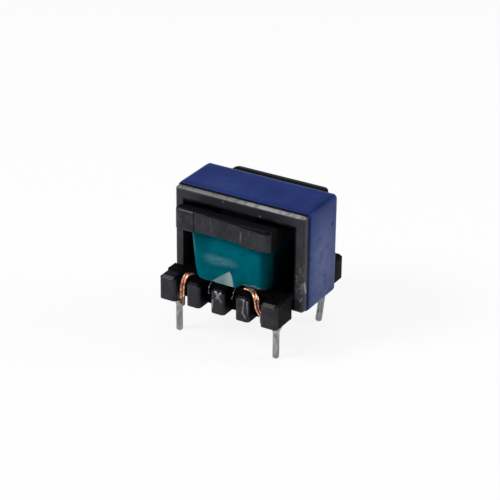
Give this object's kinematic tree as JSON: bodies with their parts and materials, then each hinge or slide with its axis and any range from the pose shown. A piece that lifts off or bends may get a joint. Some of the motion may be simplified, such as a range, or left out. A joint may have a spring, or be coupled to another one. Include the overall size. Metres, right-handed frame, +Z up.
{
  "type": "high frequency transformer",
  "caption": "Ferrite-core transformer on a moulded bobbin with slotted terminal rails, a taped winding, tape round the core and through-hole pins.",
  "frame": {"origin": "centre of the pin grid in plan, at the level of the pin tips, on the surface that the part stands on", "axes": "+X along the two terminal rails, towards the right end as seen from the front; -Y is the front, where the winding and the pair of stranded leads face; +Z up, from the pin tips to the top of the core"},
  "size_m": [0.0135, 0.0122, 0.0135],
  "materials": {
    "bobbin": "moulded phenolic, dull",
    "ferrite": "ground ferrite, dull grey",
    "core_tape": "satin polyester tape",
    "coil_tape": "satin polyester tape",
    "enamelled_wire": "enamelled copper",
    "tinned_pin": "hot-dip tinned",
    "solder": "tin solder"
  },
  "bodies": {
    "root": {"back_left_lead": "enamelled_wire", "back_left_pin": "tinned_pin", "back_left_solder": "solder", "back_right_lead": "enamelled_wire", "back_right_pin": "tinned_pin", "back_right_solder": "solder", "bobbin": "bobbin", "core_tape": "core_tape", "front_left_lead_lower": "enamelled_wire", "front_left_lead_upper": "enamelled_wire", "front_left_pin": "tinned_pin", "front_left_solder": "solder", "front_right_lead_lower": "enamelled_wire", "front_right_lead_upper": "enamelled_wire", "front_right_pin": "tinned_pin", "front_right_solder": "solder", "inner_winding_tape": "coil_tape", "lower_core_half": "ferrite", "outer_winding_tape": "coil_tape", "primary_winding": "enamelled_wire", "secondary_winding": "enamelled_wire", "upper_core_half": "ferrite"}
  },
  "joints": []
}
